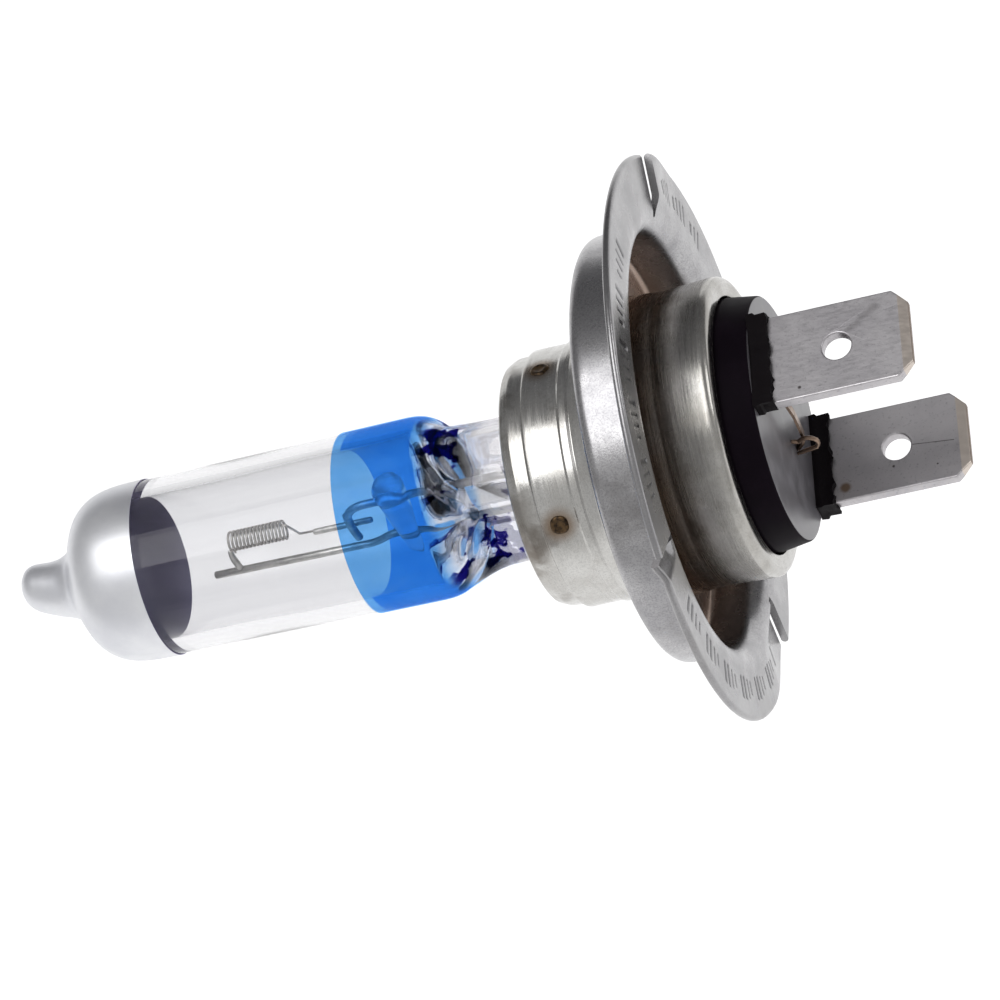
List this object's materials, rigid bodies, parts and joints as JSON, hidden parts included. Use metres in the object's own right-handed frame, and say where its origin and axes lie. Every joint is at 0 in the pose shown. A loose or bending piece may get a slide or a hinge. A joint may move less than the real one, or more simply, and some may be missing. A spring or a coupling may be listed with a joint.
{
  "type": "headlight bulb",
  "caption": "Halogen headlight bulb: coated quartz capsule with a coil filament, welded steel ring with sprung rim, and two flat blade terminals.",
  "frame": {"origin": "on the lamp axis, in the reference plane from which the filament's place is measured, inside the ring's cup", "axes": "+X along the lamp axis from the glass tip to the terminals, +Z through the broad faces of the blades, +Y across the blades"},
  "size_m": [0.0631, 0.0368, 0.037],
  "materials": {
    "glass": "clear polished quartz",
    "silver_coat": "satin silver coating",
    "blue_coat": "clear blue coating",
    "tungsten": "matt grey wire",
    "wire": "dull grey wire",
    "foil": "bright thin foil",
    "steel": "satin pressed steel with brown heat tint",
    "blade": "satin plated metal with fine scratches",
    "insulator": "black glazed ceramic",
    "seal": "rough black compound"
  },
  "bodies": {
    "root": {"quartz_bulb": "glass", "top_coating": "silver_coat", "blue_coating": "blue_coat", "filament_coil": "tungsten", "front_filament_post": "wire", "rear_filament_post": "wire", "short_support_wire": "wire", "long_support_wire": "wire", "quartz_bridge": "glass", "upper_foil": "foil", "lower_foil": "foil", "upper_outer_lead": "wire", "lower_outer_lead": "wire", "pinch_clip_left": "steel", "pinch_clip_right": "steel", "holder_sleeve": "steel", "adjusting_sleeve": "steel", "mounting_ring": "steel", "rear_shell": "steel", "insulator_disc": "insulator", "upper_terminal": "blade", "lower_terminal": "blade", "upper_terminal_seal": "seal", "lower_terminal_seal": "seal", "lead_weld_strip": "wire", "lead_wire_loop": "wire"}
  },
  "joints": []
}
